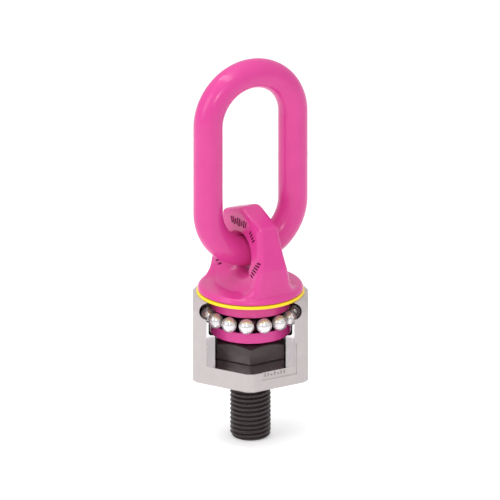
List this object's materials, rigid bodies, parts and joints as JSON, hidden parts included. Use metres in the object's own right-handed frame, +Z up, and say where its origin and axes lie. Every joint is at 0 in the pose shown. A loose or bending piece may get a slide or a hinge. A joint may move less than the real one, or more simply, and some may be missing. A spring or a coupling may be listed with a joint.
{
  "type": "swivel hoist ring",
  "caption": "Swivel lifting point: an oblong link in a forged eye that turns on a ball bearing in a hexagonal housing, cut open at the front, over a captive threaded stud.",
  "frame": {"origin": "centre of the housing's flat seat face, on the axis of the bolt and of the swivel", "axes": "+Z up the swivel axis towards the link, -Z along the threaded stud, -Y towards the cut opening in the housing"},
  "size_m": [0.085, 0.0948, 0.2943],
  "materials": {
    "zinc_grey": "satin",
    "black_oxide": "satin",
    "seal_yellow": "satin",
    "powder_pink": "gloss",
    "bearing_steel": "polished"
  },
  "bodies": {
    "base": {"housing": "zinc_grey", "hex_bolt": "black_oxide", "seal_ring": "seal_yellow", "filler_plug": "black_oxide"},
    "eye": {"swivel_eye": "powder_pink"},
    "ball_set": {"ball_01": "bearing_steel", "ball_02": "bearing_steel", "ball_03": "bearing_steel", "ball_04": "bearing_steel", "ball_05": "bearing_steel", "ball_06": "bearing_steel", "ball_07": "bearing_steel", "ball_08": "bearing_steel", "ball_09": "bearing_steel", "ball_10": "bearing_steel", "ball_11": "bearing_steel", "ball_12": "bearing_steel", "ball_13": "bearing_steel", "ball_14": "bearing_steel", "ball_15": "bearing_steel"},
    "link": {"oblong_link": "powder_pink"}
  },
  "joints": [
    {"name": "swivel", "type": "hinge", "parent": "base", "child": "eye", "pos_m": [0, 0, 0.046], "axis": [0, 0, 1], "continuous": true},
    {"name": "ball_orbit", "type": "hinge", "parent": "base", "child": "ball_set", "pos_m": [0, 0, 0.046], "axis": [0, 0, 1], "continuous": true},
    {"name": "link_tilt", "type": "hinge", "parent": "eye", "child": "link", "pos_m": [0, 0, 0.0927], "axis": [0.866, 0.5, 0], "range_deg": [-115, 115]}
  ],
  "couplings": [
    {"joint": "ball_orbit", "follows": "swivel", "ratio": 0.4092}
  ]
}
